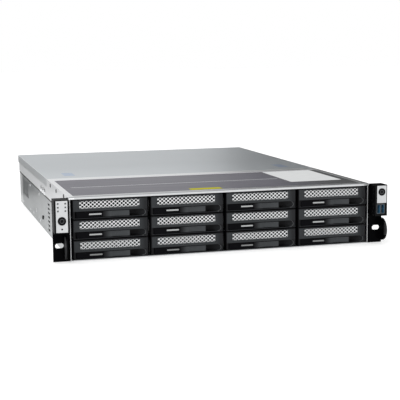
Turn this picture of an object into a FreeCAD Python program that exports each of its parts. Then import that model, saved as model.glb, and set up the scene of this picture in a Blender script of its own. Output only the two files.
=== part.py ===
import FreeCAD, Part
import math
import os

# Two-unit rack storage server: twelve pull-out drive trays in front, boards and two power modules
# behind. Millimetres, +Z up, the tray fronts look along -Y. Sizes behind the front edge are counted
# from the front edges of the side walls and moved to the row's origin when a piece is written.

# Sheet metal
sheet = 1.2
rear_cover_sheet = 1.0
slide_gap = 0.3
seat_gap = 0.4

# Drive bays
columns = 4
rows = 3
tray_width = 103.2
tray_height = 26.5
column_gap = 5.0
row_gap = 1.4
divider = 1.2
cage_roof = 0.8
roof_room = 0.8
divider_setback = 8.0
tray_length = 197.0

# Tray bezel, with sizes counted from the lower left corner of the tray's face
bezel_depth = 14.0
grille_left = 9.1
grille_right = 11.0
grille_low = 14.1
grille_high = 24.1
grille_sheet = 1.0
grille_setback = 1.2
grille_columns = 7
grille_margin = 1.6
grille_bar = 1.1
channel_post = 3.0
channel_low = 1.0
channel_high = 10.1
channel_depth = 11.0
scoop_width = 20.4
scoop_lip = 0.8
scoop_belly = 2.5

# Tray sled
sled_proud = 0.2
sled_wall = 0.85
sled_low = 1.4
sled_wall_height = 18.0
sled_bar = 3.0
sled_bar_height = 2.2
sled_windows = 1
window_margin = 14.0
window_low = 6.0
window_edge = 3.0
runner_low = 3.0
runner_height = 1.6
runner_width = 1.2
rail_height = 1.2
rail_gap = 0.2

# Tray lever
lever_gap = 0.4
lever_half_thickness = 2.6
lever_setback = 0.5
lever_tip_gap = 1.4
lever_pad = 27.0
lever_pad_depth = 1.6
lever_pad_run = 9.0
pivot_pin = 1.2
pivot_sides = 8
heel_steps = 4
pivot_play = 0.06
pivot_reach = 0.7

# Case
case_depth = 615.0
band_bottom = 58.5
band_step = 1.0
flange_width = 9.0
edge_return = 2.8
cover_seam = 218.0
seam_gap = 0.6
front_skirt = 15.0
rear_skirt = 13.0
front_lip = 3.5
recess_depth = 0.5
recess_front = 12.5
recess_back = 26.0
recess_side = 8.0

# Openings in the side walls
slot_count = 7
slot_first = 8.2
slot_pitch = 6.6
slot_length = 20.0
slot_height = 3.2
slot_behind = 209.0
rail_hole = 3.3
rail_hole_behind = 285.0
rail_hole_pitch = 85.0
rail_hole_up = 18.0
hook_count = 3
hook_behind = 248.0
hook_pitch = 22.0
hook_length = 9.0
hook_rise = 5.0
hook_height = 5.0
vent_from_rear = 129.0
vent_count = 6
vent_pitch = 13.0
vent_width = 9.4
vent_low = 22.0
vent_high = 50.0

# Rack ears
ear_width = 22.0
ear_flange = 2.5
ear_flange_behind = 3.0
ear_low = 0.0
ear_reach = 17.4
ear_box_reach = 16.0
ear_box_width = 19.0
ear_box_low = 41.6
ear_drop = 1.2
ear_plate = 2.0
ear_plate_length = 40.0
rack_slot_inset = 8.75
rack_slot_up = 21.8
rack_slot_length = 12.0
rack_slot_width = 7.0
finger_plate = 2.7
finger_low = 4.4
finger_high = 36.0

# Faceplates, buttons and front sockets
faceplate = 1.0
faceplate_gap = 0.1
plate_rim = 1.2
left_rim = 2.4
left_plate_width = 15.8
right_rim = 1.2
right_plate_width = 14.6
right_plate_low = 60.4
power_button_radius = 5.6
power_button_up = 58.4
id_button_radius = 5.25
id_button_up = 76.5
button_play = 0.08
button_length = 6.0
button_room = 2.0
button_proud = 0.6
well_gap = 0.4
pinhole_radius = 1.2
pinhole_up = 47.4
lens_side = 2.0
lens_length = 2.2
lens_top_drop = 3.7
lens_pitch = 5.0
lens_rows = 3
lens_spread = 5.0
usb_width = 5.6
usb_height = 13.2
usb_depth = 14.0
usb_wall = 0.4
usb_pitch = 6.4
usb_inset = 10.1
usb_low = 45.2
tongue_width = 1.9
tongue_length = 9.0

# Backplane and fans
board = 1.6
backplane_gap = 8.0
socket_depth = 6.5
socket_width = 44.0
socket_height = 6.0
socket_up = 4.0
air_window_width = 46.0
air_window_rise = 9.0
fan_count = 3
fan_pitch = 130.0
fan_behind = 30.0
fan_depth = 25.0
fan_headroom = 4.3
fan_wall = 1.5
fan_strut = 3.0
fan_back = 4.0
hub_radius = 17.0
hub_length = 17.0
hub_gap = 1.0
blade_count = 6
fan_sides = 20
shaft_sides = 12
blade_chord = 19.0
blade_sheet = 1.6
blade_pitch = 38.0
blade_tip_gap = 1.3
blade_root = 4.0
shaft_radius = 1.5
shaft_play = 0.06
shaft_length = 13.0

# Main board
standoff_height = 6.0
standoff_radius = 3.2
standoff_sides = 6
board_width = 304.0
board_depth = 255.0
board_rear_gap = 14.0
board_side_gap = 10.0
standoff_inset = 12.0
cooler_width = 90.0
cooler_depth = 80.0
cooler_height = 58.0
cooler_base = 5.0
cooler_fins = 15
fin_thickness = 1.0
cooler_left = 45.0
cooler_front = 60.0
module_count = 4
module_pitch = 9.5
module_thickness = 4.0
module_length = 133.0
module_height = 31.0
module_left = 160.0
module_front = 40.0

# Rear ports
port_depth = 21.0
port_proud = 0.6
port_gap = 0.3
jack_count = 2
jack_width = 16.2
jack_height = 13.6
jack_mouth_width = 11.8
jack_mouth_height = 8.2
jack_mouth_depth = 13.0
jack_first = 60.0
jack_pitch = 20.0
stack_left = 20.0
stack_width = 14.0
stack_height = 15.6
stack_slot_width = 12.2
stack_slot_height = 4.8
stack_slot_depth = 9.0
video_left = 110.0
video_width = 15.2
video_height = 6.2
video_depth = 6.0
video_wall = 0.6

# Rear panel openings
panel_slot_count = 12
panel_slot_width = 8.4
panel_slot_pitch = 14.8
panel_slot_low = 34.0
panel_slot_high = 74.0
panel_slot_left = 16.0
card_slots = 3
card_slot_pitch = 20.3
card_slot_width = 13.0
card_slot_low = 12.0
card_slot_high = 76.0
card_slot_gap = 12.0

# Power modules
psu_width = 73.5
psu_length = 185.0
psu_gap = 0.4
psu_shelf = 1.0
psu_bay_wall = 1.0
psu_headroom = 1.2
psu_proud = 1.0
inlet_width = 24.0
inlet_height = 16.0
inlet_depth = 16.0
inlet_right = 6.0
inlet_up = 4.0
inlet_pin_width = 2.0
inlet_pin_height = 4.0
inlet_pin_length = 10.0
inlet_pin_pitch = 7.0
inlet_pin_rise = 2.0
fan_grille_slots = 5
fan_grille_slot = 3.0
fan_grille_pitch = 5.0
fan_grille_height = 26.0
fan_grille_depth = 1.5
fan_grille_left = 5.0
handle_reach = 24.0
handle_width = 34.0
handle_height = 8.0
handle_bar = 3.0
handle_left = 1.5
latch_width = 3.2
latch_height = 12.0
latch_root = 12.0
latch_reach = 14.0
latch_travel = 2.5
latch_up = 24.0
latch_right = 1.6
latch_play = 0.3

# Sizes that follow from the ones above
column_pitch = tray_width + column_gap
row_pitch = tray_height + row_gap
wall_in = columns * column_pitch / 2 - divider / 2
wall_half = wall_in + sheet
band_half = wall_half + band_step
first_row = sheet + seat_gap
roof_low = first_row + rows * row_pitch - row_gap + roof_room
flange_low = roof_low + cage_roof
flange_top = flange_low + sheet
case_height = flange_top + slide_gap + rear_cover_sheet
front_cover_sheet = slide_gap + rear_cover_sheet
lip_half = band_half + slide_gap + rear_cover_sheet
rack_half = lip_half + ear_width
backplane_front = tray_length + backplane_gap
fan_front = backplane_front + fan_behind
fan_size = flange_low - sheet - fan_headroom
fan_centre_up = sheet + fan_size / 2
fan_bore = fan_size / 2 - fan_wall
panel_front = case_depth - sheet
sled_half = tray_width / 2 + sled_proud
rail_reach = column_pitch / 2 - sled_half - slide_gap
lever_pivot_left = channel_post + lever_gap + lever_half_thickness
lever_pivot_back = lever_setback + lever_half_thickness
lever_end = tray_width - channel_post - scoop_width - lever_tip_gap
lever_low = channel_low + lever_gap
lever_high = channel_high - lever_gap
board_rear = panel_front - board_rear_gap
board_front = board_rear - board_depth
board_left = -wall_in + board_side_gap
board_low = sheet + standoff_height
board_top = board_low + board
psu_right = wall_in - psu_gap
psu_left = psu_right - psu_width
psu_bay_left = psu_left - psu_gap - psu_bay_wall
psu_stack = flange_low - psu_headroom - sheet
psu_pitch = (psu_stack + psu_shelf) / 2
psu_height = psu_pitch - psu_shelf - 2 * psu_gap
psu_rear = case_depth + psu_proud
overall_front = -ear_reach
overall_rear = psu_rear + handle_reach
to_origin = FreeCAD.Vector(0, -(overall_front + overall_rear) / 2, 0)


def block(x0, x1, y0, y1, z0, z1):
    """A box from its low and high corners."""
    return Part.makeBox(x1 - x0, y1 - y0, z1 - z0, FreeCAD.Vector(x0, y0, z0))


def outline(points):
    """A closed wire through 3-D points."""
    return Part.makePolygon([FreeCAD.Vector(*p) for p in points + points[:1]])


def plate_y(points, y0, y1):
    """A flat outline in X and Z, made thick along Y."""
    face = Part.Face(outline([(x, y0, z) for x, z in points]))
    return face.extrude(FreeCAD.Vector(0, y1 - y0, 0))


def plate_z(points, z0, z1):
    """A flat outline in X and Y, made thick along Z."""
    face = Part.Face(outline([(x, y, z0) for x, y in points]))
    return face.extrude(FreeCAD.Vector(0, 0, z1 - z0))


def rod_y(radius, x, z, y0, y1):
    """A round bar along Y."""
    return Part.makeCylinder(radius, y1 - y0, FreeCAD.Vector(x, y0, z), FreeCAD.Vector(0, 1, 0))


def ring(radius, sides, across, up):
    """Corner points of a regular outline round a centre."""
    turns = [2 * math.pi * index / sides for index in range(sides)]
    return [(across + radius * math.cos(turn), up + radius * math.sin(turn)) for turn in turns]


def clear_ring(radius, sides, across, up):
    """The same round a bore: its flats, not its corners, are a radius away."""
    return ring(radius / math.cos(math.pi / sides), sides, across, up)


def moved(shape, x, y, z):
    """A copy of a shape, shifted."""
    copy = shape.copy()
    copy.translate(FreeCAD.Vector(x, y, z))
    return copy


def mirrored(shape):
    """The same shape on the other side of the middle plane."""
    return shape.mirror(FreeCAD.Vector(0, 0, 0), FreeCAD.Vector(1, 0, 0))


def column_centre(column):
    return (column - (columns - 1) / 2) * column_pitch


def row_low(row):
    return first_row + row * row_pitch


def guide_rail(tip_x, wall_x, row):
    """The ledge that a tray's runner slides on: it stands off a wall to just short of the sled."""
    x0, x1 = sorted((tip_x, wall_x))
    top = row_low(row) + runner_low - rail_gap
    return block(x0, x1, divider_setback, tray_length, top - rail_height, top)


def chassis_base():
    """Floor and side walls folded from one sheet, stepped out along the top and turned in as a flange."""
    inner_band = band_half - sheet
    half = [
        (0, 0),
        (wall_half, 0),
        (wall_half, band_bottom),
        (band_half, band_bottom),
        (band_half, flange_top),
        (band_half - flange_width, flange_top),
        (band_half - flange_width, flange_low),
        (inner_band, flange_low),
        (inner_band, band_bottom + sheet),
        (wall_in, band_bottom + sheet),
        (wall_in, sheet),
        (0, sheet),
    ]
    right = plate_y(half, 0, panel_front)
    right = right.fuse(block(wall_in, band_half, 0, edge_return, 0, roof_low - slide_gap))
    lip_room = front_cover_sheet + slide_gap
    right = right.cut(block(0, band_half, 0, lip_room, roof_low - slide_gap, case_height))
    bay_edge = columns * column_pitch / 2
    for row in range(rows):
        wall_x = bay_edge if row_low(row) + runner_low < band_bottom else bay_edge + band_step
        right = right.fuse(guide_rail(bay_edge - rail_reach, wall_x, row))
    for index in range(slot_count):
        low = slot_first + index * slot_pitch - slot_height / 2
        right = right.cut(
            block(wall_in - sheet, band_half, slot_behind, slot_behind + slot_length, low, low + slot_height)
        )
    for index in range(vent_count):
        start = case_depth - vent_from_rear + index * vent_pitch
        right = right.cut(block(wall_in - sheet, band_half, start, start + vent_width, vent_low, vent_high))
    for behind in (rail_hole_behind, rail_hole_behind + rail_hole_pitch):
        start = FreeCAD.Vector(wall_in - sheet, behind, rail_hole_up)
        right = right.cut(Part.makeCylinder(rail_hole, 3 * sheet, start, FreeCAD.Vector(1, 0, 0)))
    hook_low = band_bottom + hook_rise
    for index in range(hook_count):
        start = hook_behind + index * hook_pitch
        right = right.cut(block(wall_in, band_half, start, start + hook_length, hook_low, hook_low + hook_height))
    return right.fuse(mirrored(right)).removeSplitter()


def drive_cage():
    """Roof sheet and upright dividers, each divider with a ledge on both sides for every row."""
    roof_half = band_half - sheet - seat_gap
    start = front_cover_sheet + slide_gap
    cage = block(-roof_half, roof_half, start, backplane_front, roof_low, flange_low)
    for index in range(1, columns):
        middle = column_centre(index) - column_pitch / 2
        upright = block(
            middle - divider / 2, middle + divider / 2, divider_setback, backplane_front, sheet, roof_low
        )
        for row in range(rows):
            for side in (-1, 1):
                upright = upright.fuse(guide_rail(middle + side * rail_reach, middle, row))
        cage = cage.fuse(upright)
    return cage.removeSplitter()


def front_cover():
    """Fixed cover over the bays: down-turned front edge, side skirts and a wide shallow recess on top."""
    back = cover_seam - seam_gap / 2
    cover = block(-lip_half, lip_half, 0, back, flange_top, case_height)
    cover = cover.fuse(block(-lip_half, lip_half, 0, front_cover_sheet, case_height - front_lip, case_height))
    for side in (-1, 1):
        x0, x1 = sorted((side * band_half, side * lip_half))
        cover = cover.fuse(block(x0, x1, 0, back, case_height - front_skirt, case_height))
    recess = block(
        -lip_half + recess_side,
        lip_half - recess_side,
        recess_front,
        cover_seam - recess_back,
        case_height - recess_depth,
        case_height,
    )
    return cover.cut(recess).removeSplitter()


def rear_cover():
    """Sliding cover over the boards: one flat sheet with a skirt down each side."""
    front = cover_seam + seam_gap / 2
    top = case_height - rear_cover_sheet
    cover = block(-lip_half, lip_half, front, case_depth, top, case_height)
    for side in (-1, 1):
        x0, x1 = sorted((side * (lip_half - rear_cover_sheet), side * lip_half))
        cover = cover.fuse(block(x0, x1, front, case_depth, case_height - rear_skirt, case_height))
    return cover.removeSplitter()


def port_boxes():
    """Low and high corners in X and Z of each connector on the main board's rear edge."""
    left = board_left
    boxes = [(left + stack_left, left + stack_left + stack_width, board_top, board_top + stack_height)]
    for index in range(jack_count):
        start = left + jack_first + index * jack_pitch
        boxes.append((start, start + jack_width, board_top, board_top + jack_height))
    boxes.append((left + video_left, left + video_left + video_width, board_top, board_top + video_height))
    return boxes


def rear_panel():
    """Rear wall with port cut-outs, a vent field, covered card slots and the bay of the power modules."""
    half = band_half - sheet - slide_gap
    low_half = wall_in
    points = [
        (-low_half, sheet),
        (low_half, sheet),
        (low_half, band_bottom + sheet),
        (half, band_bottom + sheet),
        (half, flange_low),
        (-half, flange_low),
        (-half, band_bottom + sheet),
        (-low_half, band_bottom + sheet),
    ]
    panel = plate_y(points, panel_front, case_depth)
    for x0, x1, z0, z1 in port_boxes():
        panel = panel.cut(
            block(x0 - port_gap, x1 + port_gap, panel_front, case_depth, z0 - port_gap, z1 + port_gap)
        )
    for index in range(panel_slot_count):
        start = board_left + panel_slot_left + index * panel_slot_pitch
        panel = panel.cut(
            block(start, start + panel_slot_width, panel_front, case_depth, panel_slot_low, panel_slot_high)
        )
    bay_top = sheet + psu_stack
    panel = panel.cut(block(psu_bay_left + psu_bay_wall, wall_in, panel_front, case_depth, sheet, bay_top))
    bay_front = psu_rear - psu_length
    wall = block(psu_bay_left, psu_bay_left + psu_bay_wall, bay_front, panel_front, sheet, bay_top)
    shelf_low = sheet + psu_pitch - psu_shelf
    shelf = block(psu_bay_left, wall_in, bay_front, case_depth, shelf_low, shelf_low + psu_shelf)
    panel = panel.fuse(wall).fuse(shelf)
    for index in range(card_slots):
        right = psu_bay_left - card_slot_gap - index * card_slot_pitch
        pocket = block(
            right - card_slot_width, right, case_depth - sheet / 2, case_depth, card_slot_low, card_slot_high
        )
        panel = panel.cut(pocket)
    return panel.removeSplitter()


def backplane():
    """Upright board at the back of the bays: an air window per column and a drive socket for each tray."""
    half = wall_in - seat_gap
    sheet_points = [(-half, sheet), (half, sheet), (half, roof_low), (-half, roof_low)]
    pcb = plate_y(sheet_points, backplane_front, backplane_front + board)
    sockets = []
    for column in range(columns):
        left = column_centre(column) - sled_half + sled_wall + seat_gap
        window_left = left + socket_width + seat_gap
        window_top = row_low(rows - 1) + socket_up + air_window_rise
        pcb = pcb.cut(
            block(window_left, window_left + air_window_width, backplane_front, backplane_front + board,
                  row_low(0) + socket_up, window_top)
        )
        for row in range(rows):
            low = row_low(row) + socket_up
            sockets.append(
                block(left, left + socket_width, backplane_front - socket_depth, backplane_front, low,
                      low + socket_height)
            )
    return Part.makeCompound([pcb] + sockets)


def fan_centres():
    return [(index - (fan_count - 1) / 2) * fan_pitch for index in range(fan_count)]


def fan_frames():
    """Square fan frames on one cross bracket; a motor plate on two struts holds each rotor's shaft."""
    back = fan_front + fan_depth
    half = wall_in - seat_gap
    top = sheet + fan_size
    bracket = block(-half, half, back, back + sheet, sheet, top)
    frames = []
    for centre in fan_centres():
        bracket = bracket.cut(
            block(centre - fan_bore, centre + fan_bore, back, back + sheet,
                  fan_centre_up - fan_bore, fan_centre_up + fan_bore)
        )
        frame = block(centre - fan_size / 2, centre + fan_size / 2, fan_front, back, sheet, top)
        frame = frame.cut(plate_y(clear_ring(fan_bore, fan_sides, centre, fan_centre_up), fan_front, back))
        plate = block(centre - hub_radius, centre + hub_radius, back - fan_back, back,
                      fan_centre_up - hub_radius, fan_centre_up + hub_radius)
        reach = fan_bore + fan_wall / 2
        strut = block(centre - reach, centre + reach, back - fan_back, back,
                      fan_centre_up - fan_strut / 2, fan_centre_up + fan_strut / 2)
        shaft = plate_y(ring(shaft_radius, shaft_sides, centre, fan_centre_up),
                        back - fan_back - shaft_length, back - fan_back)
        frames.append(frame.fuse([plate, strut, shaft]).removeSplitter())
    return Part.makeCompound([bracket] + frames)


def fan_rotor(centre):
    """Hub cup with pitched blades, bored to run on the frame's shaft."""
    back = fan_front + fan_depth - fan_back - hub_gap
    middle = back - hub_length / 2
    half_diagonal = math.hypot(blade_chord, blade_sheet) / 2
    tip = math.sqrt((fan_bore - blade_tip_gap) ** 2 - half_diagonal ** 2)
    blade = block(hub_radius - blade_root, tip, -blade_sheet / 2, blade_sheet / 2,
                  -blade_chord / 2, blade_chord / 2)
    blade.rotate(FreeCAD.Vector(0, 0, 0), FreeCAD.Vector(1, 0, 0), 90 - blade_pitch)
    blade.translate(FreeCAD.Vector(0, middle, 0))
    rotor = plate_y(ring(hub_radius, fan_sides, 0, 0), back - hub_length, back)
    for index in range(blade_count):
        turned = blade.copy()
        turned.rotate(FreeCAD.Vector(0, 0, 0), FreeCAD.Vector(0, 1, 0), index * 360 / blade_count)
        rotor = rotor.fuse(turned)
    bore = clear_ring(shaft_radius + shaft_play, shaft_sides, 0, 0)
    rotor = rotor.cut(plate_y(bore, back - shaft_length, back))
    return moved(rotor, centre, 0, fan_centre_up)


def motherboard():
    """Main board on standoffs, with memory modules standing in their row."""
    right = board_left + board_width
    pieces = [block(board_left, right, board_front, board_rear, board_low, board_top)]
    middle = (board_front + board_rear) / 2
    for x in (board_left + standoff_inset, right - standoff_inset):
        for y in (board_front + standoff_inset, middle, board_rear - port_depth - standoff_inset):
            pieces.append(plate_z(ring(standoff_radius, standoff_sides, x, y), sheet, board_low))
    for index in range(module_count):
        x0 = board_left + module_left + index * module_pitch
        y0 = board_front + module_front
        pieces.append(
            block(x0, x0 + module_thickness, y0, y0 + module_length, board_top, board_top + module_height)
        )
    return Part.makeCompound(pieces)


def cpu_heatsink():
    """Extruded cooler: a thick base with a comb of upright fins."""
    x0 = board_left + cooler_left
    y0 = board_front + cooler_front
    base_top = board_top + cooler_base
    cooler = block(x0, x0 + cooler_width, y0, y0 + cooler_depth, board_top, base_top)
    step = (cooler_width - fin_thickness) / (cooler_fins - 1)
    for index in range(cooler_fins):
        left = x0 + index * step
        cooler = cooler.fuse(
            block(left, left + fin_thickness, y0, y0 + cooler_depth, base_top, board_top + cooler_height)
        )
    return cooler.removeSplitter()


def rear_ports():
    """Connector shells on the board's rear edge: a double data stack, network jacks and a video socket."""
    rear = case_depth + port_proud
    shells = [block(x0, x1, rear - port_depth, rear, z0, z1) for x0, x1, z0, z1 in port_boxes()]
    x0, x1, z0, z1 = port_boxes()[0]
    middle = (x0 + x1) / 2
    for level in (1, 3):
        up = z0 + level * (z1 - z0) / 4
        shells[0] = shells[0].cut(
            block(middle - stack_slot_width / 2, middle + stack_slot_width / 2, rear - stack_slot_depth, rear,
                  up - stack_slot_height / 2, up + stack_slot_height / 2)
        )
    for index in range(jack_count):
        x0, x1, z0, z1 = port_boxes()[1 + index]
        middle = (x0 + x1) / 2
        up = (z0 + z1) / 2
        shells[1 + index] = shells[1 + index].cut(
            block(middle - jack_mouth_width / 2, middle + jack_mouth_width / 2, rear - jack_mouth_depth, rear,
                  up - jack_mouth_height / 2, up + jack_mouth_height / 2)
        )
    x0, x1, z0, z1 = port_boxes()[-1]
    shells[-1] = shells[-1].cut(
        block(x0 + video_wall, x1 - video_wall, rear - video_depth, rear, z0 + video_wall, z1 - video_wall)
    )
    return Part.makeCompound(shells)


def psu_low(index):
    return sheet + index * psu_pitch + psu_gap


def psu(index):
    """Power module: closed case with a mains inlet, a vent field, a latch pocket and a pull handle."""
    low = psu_low(index)
    case = block(psu_left, psu_right, psu_rear - psu_length, psu_rear, low, low + psu_height)
    inlet_x1 = psu_right - inlet_right - latch_width - latch_travel
    inlet_x0 = inlet_x1 - inlet_width
    inlet_z0 = low + inlet_up
    mouth = block(inlet_x0, inlet_x1, psu_rear - inlet_depth, psu_rear, inlet_z0, inlet_z0 + inlet_height)
    case = case.cut(mouth)
    middle = (inlet_x0 + inlet_x1) / 2
    floor = psu_rear - inlet_depth
    for step in (-1, 0, 1):
        x = middle + step * inlet_pin_pitch
        up = inlet_z0 + inlet_height / 2 + (inlet_pin_rise if step == 0 else -inlet_pin_rise)
        case = case.fuse(
            block(x - inlet_pin_width / 2, x + inlet_pin_width / 2, floor, floor + inlet_pin_length,
                  up - inlet_pin_height / 2, up + inlet_pin_height / 2)
        )
    for step in range(fan_grille_slots):
        x = psu_left + fan_grille_left + step * fan_grille_pitch
        z = low + (psu_height - fan_grille_height) / 2
        case = case.cut(
            block(x, x + fan_grille_slot, psu_rear - fan_grille_depth, psu_rear, z, z + fan_grille_height)
        )
    case = case.cut(latch_pocket(index))
    x0 = psu_left + handle_left
    z0 = low + (psu_height - handle_height) / 2
    loop = block(x0, x0 + handle_width, psu_rear, psu_rear + handle_reach, z0, z0 + handle_height)
    gap = block(x0 + handle_bar, x0 + handle_width - handle_bar, psu_rear,
                psu_rear + handle_reach - handle_bar, z0, z0 + handle_height)
    return case.fuse(loop.cut(gap)).removeSplitter()


def latch_pocket(index):
    """Slot in the module's rear face that guides the latch's root over its sideways travel."""
    x1 = psu_right - latch_right
    z0 = psu_low(index) + latch_up - latch_play
    return block(x1 - latch_width - latch_travel - 2 * latch_play, x1, psu_rear - latch_root - latch_play,
                 psu_rear, z0, z0 + latch_height + 2 * latch_play)


def psu_latch(index):
    """Thumb latch of a power module: a root in the pocket and a tab behind the module."""
    x1 = psu_right - latch_right - latch_play
    z0 = psu_low(index) + latch_up
    points = [
        (x1 - latch_width, psu_rear - latch_root),
        (x1, psu_rear - latch_root),
        (x1, psu_rear + latch_reach),
        (x1 - latch_width / 2, psu_rear + latch_reach),
        (x1 - latch_width, psu_rear + latch_reach - latch_width),
    ]
    return plate_z(points, z0, z0 + latch_height)


def finger_profile():
    """The round-nosed outline of an ear's finger plate in Y and Z, from the flange forward and back."""
    top = FreeCAD.Vector(0, ear_flange_behind, finger_high)
    bottom = FreeCAD.Vector(0, ear_flange_behind, finger_low)
    nose = FreeCAD.Vector(0, -ear_reach, (finger_low + finger_high) / 2)
    back = Part.LineSegment(bottom, top).toShape()
    arc = Part.Arc(top, nose, bottom).toShape()
    return Part.Face(Part.Wire([back, arc]))


def ear_shell(finger_x):
    """Slotted flange with a side plate, a control housing in front of it and a finger plate below."""
    top = case_height - ear_drop
    inner = lip_half + slide_gap
    step = band_bottom - slide_gap
    points = [
        (wall_half, ear_low),
        (rack_half, ear_low),
        (rack_half, top),
        (inner, top),
        (inner, step),
        (wall_half, step),
    ]
    flange_back = ear_flange_behind + ear_flange
    shell = plate_y(points, ear_flange_behind, flange_back)
    centre = rack_half - rack_slot_inset
    radius = rack_slot_width / 2
    straight = rack_slot_length / 2 - radius
    shell = shell.cut(block(centre - straight, centre + straight, ear_flange_behind, flange_back,
                            rack_slot_up - radius, rack_slot_up + radius))
    for end in (-straight, straight):
        shell = shell.cut(rod_y(radius, centre + end, rack_slot_up, ear_flange_behind, flange_back))
    side_plate = block(wall_half, wall_half + ear_plate, flange_back, flange_back + ear_plate_length,
                       ear_low, step)
    housing = block(rack_half - ear_box_width, rack_half, -ear_box_reach, ear_flange_behind, ear_box_low, top)
    finger = finger_profile().extrude(FreeCAD.Vector(finger_plate, 0, 0))
    return shell.fuse([side_plate, housing, moved(finger, finger_x, 0, 0)]).removeSplitter()


def plate_bounds(side):
    """Low and high X and Z of a faceplate on the right-hand side of the middle plane."""
    rim = left_rim if side < 0 else right_rim
    width = left_plate_width if side < 0 else right_plate_width
    low = ear_box_low + plate_rim if side < 0 else right_plate_low
    high = case_height - ear_drop - plate_rim
    return rack_half - rim - width, rack_half - rim, low, high


def button_well(radius, x, up):
    """Square well in the housing behind the faceplate's hole, deep enough for a button's travel."""
    half = radius + well_gap
    depth = button_length - button_proud + button_room
    return block(x - half, x + half, -ear_box_reach, -ear_box_reach + depth, up - half, up + half)


def lens_places():
    """X and Z of the indicator lenses: two short columns at the top of the left faceplate."""
    x0, x1, low, high = plate_bounds(-1)
    middle = (x0 + x1) / 2
    places = []
    for row in range(lens_rows):
        for spread in (-lens_spread, lens_spread):
            places.append((middle + spread, high - lens_top_drop - row * lens_pitch))
    return places


def lens_block(place, play):
    x, up = place
    half = lens_side / 2 + play
    return block(x - half, x + half, -ear_box_reach, -ear_box_reach + lens_length, up - half, up + half)


def usb_centres():
    return [rack_half - usb_inset + step * usb_pitch for step in (-0.5, 0.5)]


def left_ear():
    """Left ear, with the pocket of its faceplate, the power button's bore and the lens holes."""
    shell = ear_shell(rack_half - rack_slot_inset - rack_slot_length / 2 - finger_plate)
    x0, x1, low, high = plate_bounds(-1)
    middle = (x0 + x1) / 2
    shell = shell.cut(block(x0 - faceplate_gap, x1 + faceplate_gap, -ear_box_reach,
                            -ear_box_reach + faceplate, low - faceplate_gap, high + faceplate_gap))
    shell = shell.cut(button_well(power_button_radius, middle, power_button_up))
    for place in lens_places():
        shell = shell.cut(lens_block(place, button_play))
    return mirrored(shell)


def right_ear():
    """Right ear, with the pocket of its faceplate, a button bore and two upright socket wells."""
    shell = ear_shell(rack_half - finger_plate)
    x0, x1, low, high = plate_bounds(1)
    shell = shell.cut(block(x0 - faceplate_gap, x1 + faceplate_gap, -ear_box_reach,
                            -ear_box_reach + faceplate, low - faceplate_gap, high + faceplate_gap))
    shell = shell.cut(button_well(id_button_radius, (x0 + x1) / 2, id_button_up))
    for centre in usb_centres():
        shell = shell.cut(block(centre - usb_width / 2, centre + usb_width / 2, -ear_box_reach,
                                -ear_box_reach + usb_depth, usb_low, usb_low + usb_height))
    return shell


def ear_faceplates():
    """Silver plates let into the fronts of the two housings, pierced for buttons, lenses and a pinhole."""
    plates = []
    for side in (-1, 1):
        x0, x1, low, high = plate_bounds(side)
        middle = (x0 + x1) / 2
        radius = power_button_radius if side < 0 else id_button_radius
        up = power_button_up if side < 0 else id_button_up
        back = -ear_box_reach + faceplate
        plate = block(x0, x1, -ear_box_reach, back, low, high)
        plate = plate.cut(rod_y(radius + button_play, middle, up, -ear_box_reach, back))
        if side < 0:
            for place in lens_places():
                plate = plate.cut(lens_block(place, button_play))
            pinhole = rod_y(pinhole_radius, middle, pinhole_up, -ear_box_reach, back)
            plate = mirrored(plate.cut(pinhole))
        plates.append(plate)
    return Part.makeCompound(plates)


def button(side, radius, up):
    """Round push button that slides in its faceplate's hole and stands a little proud of it."""
    x0, x1, low, high = plate_bounds(side)
    middle = side * (x0 + x1) / 2
    front = -ear_box_reach - button_proud
    return rod_y(radius, middle, up, front, front + button_length)


def status_lenses():
    """Clear light windows in the left faceplate."""
    return mirrored(Part.makeCompound([lens_block(place, 0) for place in lens_places()]))


def usb_ports():
    """Two upright socket shells, each with its contact tongue on the back wall."""
    ports = []
    for centre in usb_centres():
        back = -ear_box_reach + usb_depth
        shell = block(centre - usb_width / 2, centre + usb_width / 2, -ear_box_reach, back,
                      usb_low, usb_low + usb_height)
        hollow = block(centre - usb_width / 2 + usb_wall, centre + usb_width / 2 - usb_wall, -ear_box_reach,
                       back - usb_wall, usb_low + usb_wall, usb_low + usb_height - usb_wall)
        tongue_left = centre - usb_width / 2 + 2 * usb_wall
        tongue = block(tongue_left, tongue_left + tongue_width, back - usb_wall - tongue_length,
                       back - usb_wall, usb_low + 2 * usb_wall, usb_low + usb_height - 2 * usb_wall)
        ports.append(shell.cut(hollow).fuse(tongue).removeSplitter())
    return Part.makeCompound(ports)


def tray_bezel():
    """Moulded tray front: a grille window above, and a lever channel that ends in a finger scoop."""
    bezel = block(0, tray_width, 0, bezel_depth, 0, tray_height)
    window = block(grille_left, tray_width - grille_right, 0, bezel_depth, grille_low, grille_high)
    end = tray_width - channel_post
    scoop = end - scoop_width
    deep = FreeCAD.Vector(scoop, channel_depth, channel_low)
    shallow = FreeCAD.Vector(end, scoop_lip, channel_low)
    chord = shallow - deep
    outward = FreeCAD.Vector(-chord.y, chord.x, 0).normalize()
    belly = (deep + shallow) / 2 + outward * scoop_belly
    corners = [
        shallow,
        FreeCAD.Vector(end, 0, channel_low),
        FreeCAD.Vector(channel_post, 0, channel_low),
        FreeCAD.Vector(channel_post, channel_depth, channel_low),
        deep,
    ]
    edges = [Part.LineSegment(p, q).toShape() for p, q in zip(corners, corners[1:])]
    edges.append(Part.Arc(deep, belly, shallow).toShape())
    channel = Part.Face(Part.Wire(edges)).extrude(FreeCAD.Vector(0, 0, channel_high - channel_low))
    bore = clear_ring(pivot_pin + pivot_play, pivot_sides, lever_pivot_left, lever_pivot_back)
    pin_hole = plate_z(bore, 0, channel_high + pivot_reach + pivot_play)
    return bezel.cut(window).cut(channel).cut(pin_hole)


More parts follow.
